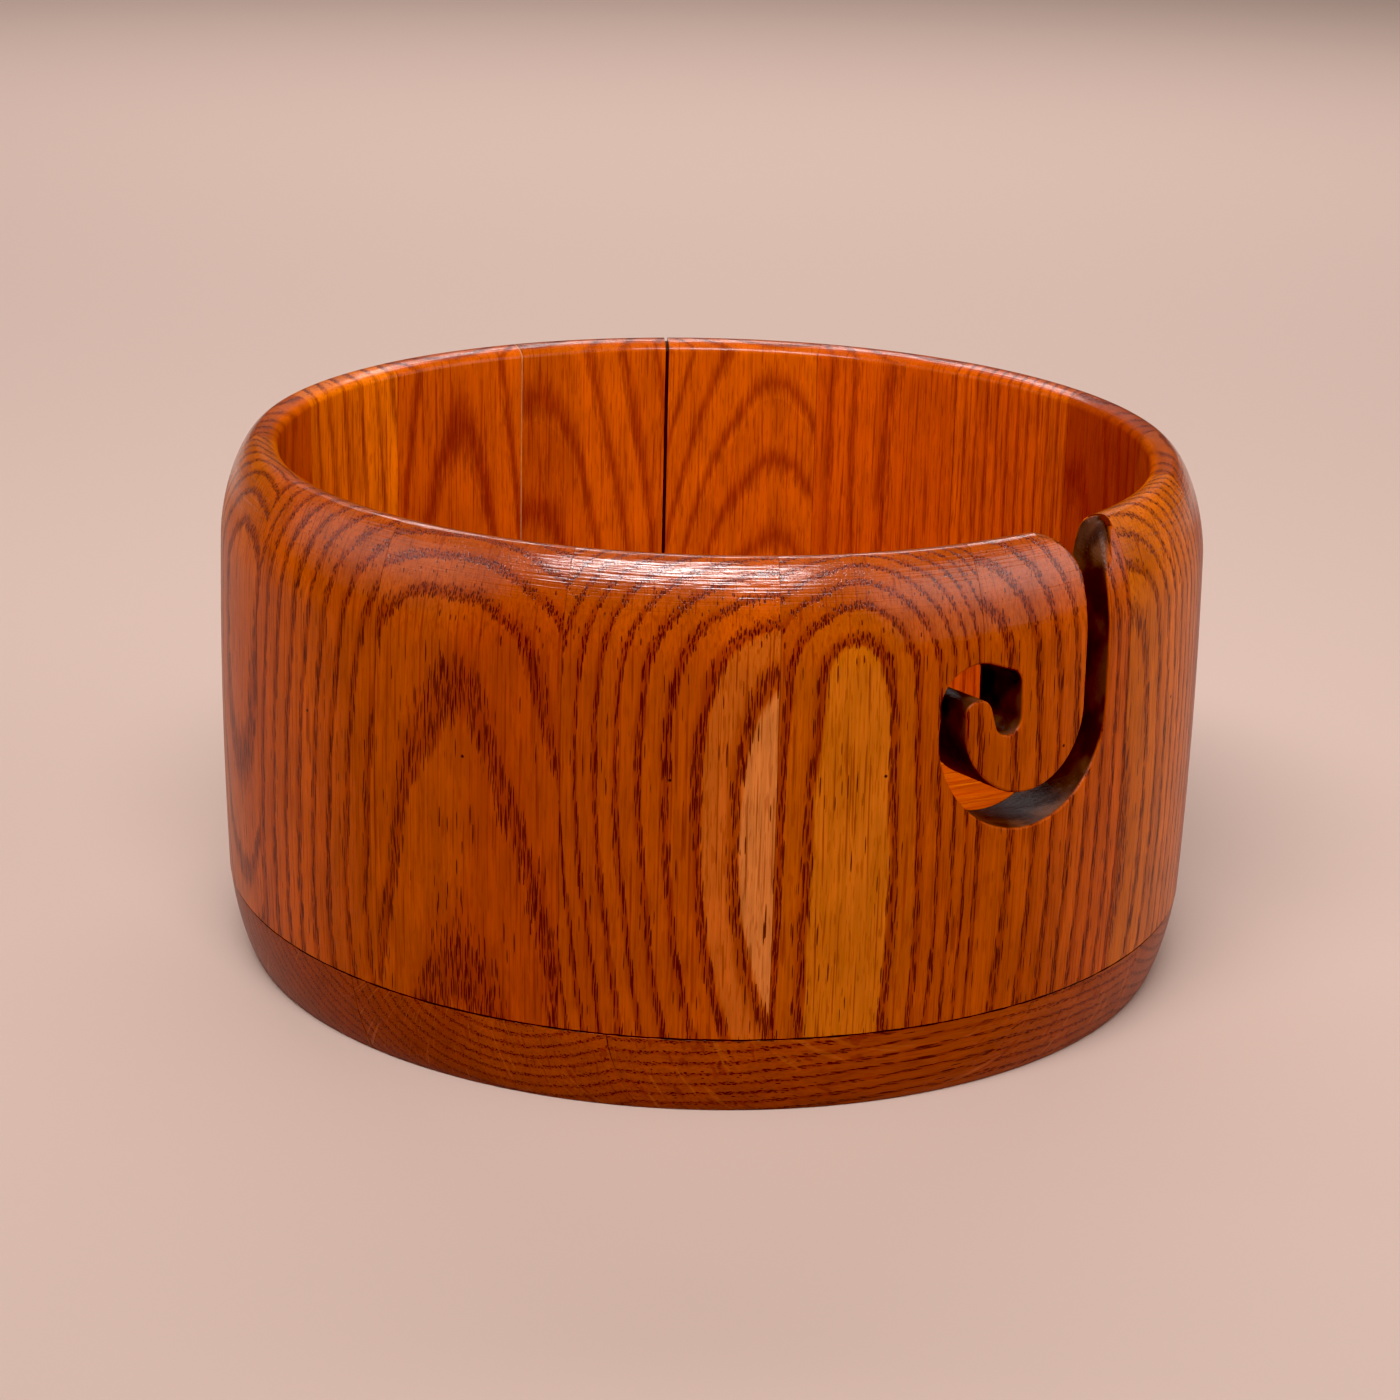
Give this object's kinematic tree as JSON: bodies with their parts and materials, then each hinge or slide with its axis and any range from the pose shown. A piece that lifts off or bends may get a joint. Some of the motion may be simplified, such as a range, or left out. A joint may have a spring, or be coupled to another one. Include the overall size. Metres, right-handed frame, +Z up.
{
  "type": "yarn bowl",
  "caption": "Round stave-built wooden yarn bowl with a straight bore, a rounded rim and a hook-shaped yarn slot sawn through its front wall.",
  "frame": {"origin": "centre of the flat underside", "axes": "+Z up along the bowl's turning axis, -Y towards the front, where the hook slot is"},
  "size_m": [0.1992, 0.1992, 0.1057],
  "materials": {
    "stave_oak": "gloss varnish over orange-brown stain",
    "base_oak": "gloss varnish over dark orange-brown stain"
  },
  "bodies": {
    "root": {"stave_01_hook": "stave_oak", "stave_01_tongue": "stave_oak", "stave_02_curl": "stave_oak", "stave_02_curl_tip": "stave_oak", "stave_03": "stave_oak", "stave_04": "stave_oak", "stave_05": "stave_oak", "stave_06": "stave_oak", "stave_07": "stave_oak", "stave_08": "stave_oak", "stave_09": "stave_oak", "stave_10": "stave_oak", "stave_11": "stave_oak", "stave_12": "stave_oak", "stave_13": "stave_oak", "stave_14": "stave_oak", "stave_15": "stave_oak", "stave_16": "stave_oak", "base_board_1": "base_oak", "base_board_2": "base_oak", "base_board_3": "base_oak", "base_board_4": "base_oak", "base_board_5": "base_oak"}
  },
  "joints": []
}
